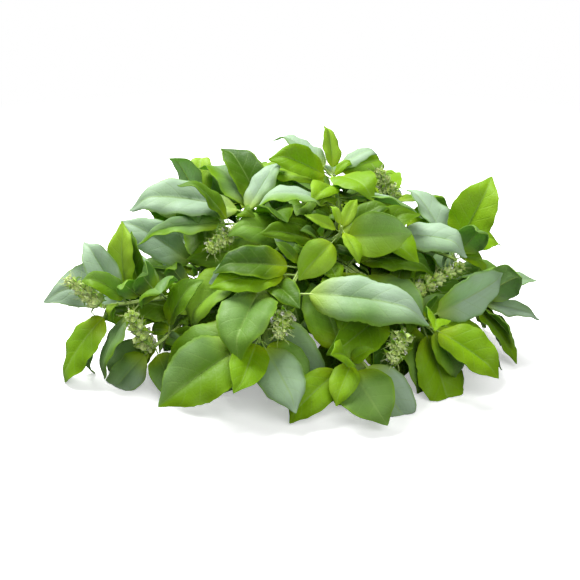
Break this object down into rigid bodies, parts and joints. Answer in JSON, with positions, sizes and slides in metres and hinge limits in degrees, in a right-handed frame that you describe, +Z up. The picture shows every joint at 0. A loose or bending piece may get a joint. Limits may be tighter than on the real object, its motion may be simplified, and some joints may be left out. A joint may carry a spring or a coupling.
{
  "type": "scent leaf herb",
  "caption": "Cut bushy top of an aromatic leafy herb lying on its side, with broad pointed leaves in pairs on branching stems, small flower spikes and a young tip.",
  "frame": {"origin": "on the table, under the middle of the box round the whole plant as it lies", "axes": "+Z up from the table, +X across the widest spread of the branches, +Y towards the cut end of the main stem"},
  "size_m": [0.2412, 0.191, 0.1021],
  "materials": {
    "leaf": "satin",
    "young_leaf": "satin",
    "flower_spike": "matte"
  },
  "bodies": {
    "root": {"main_stem": "leaf", "branch_left_low": "leaf", "branch_right_low": "leaf", "branch_left_mid": "leaf", "branch_right_mid": "leaf", "branch_back_left": "leaf", "branch_back_right": "leaf", "branch_front_left": "leaf", "branch_right_up": "leaf", "branch_left_up": "leaf", "branch_right_front": "leaf", "branch_top_left": "leaf", "branch_front_right": "leaf", "branch_top": "leaf", "branch_front": "leaf", "branch_front_mid": "leaf", "young_tip": "young_leaf", "spike_left_low": "flower_spike", "spike_left_mid": "flower_spike", "spike_back_left": "flower_spike", "spike_back_right": "flower_spike", "spike_right_front": "flower_spike", "spike_top_left": "flower_spike", "spike_front_right": "flower_spike", "spike_front_mid": "flower_spike"}
  },
  "joints": []
}
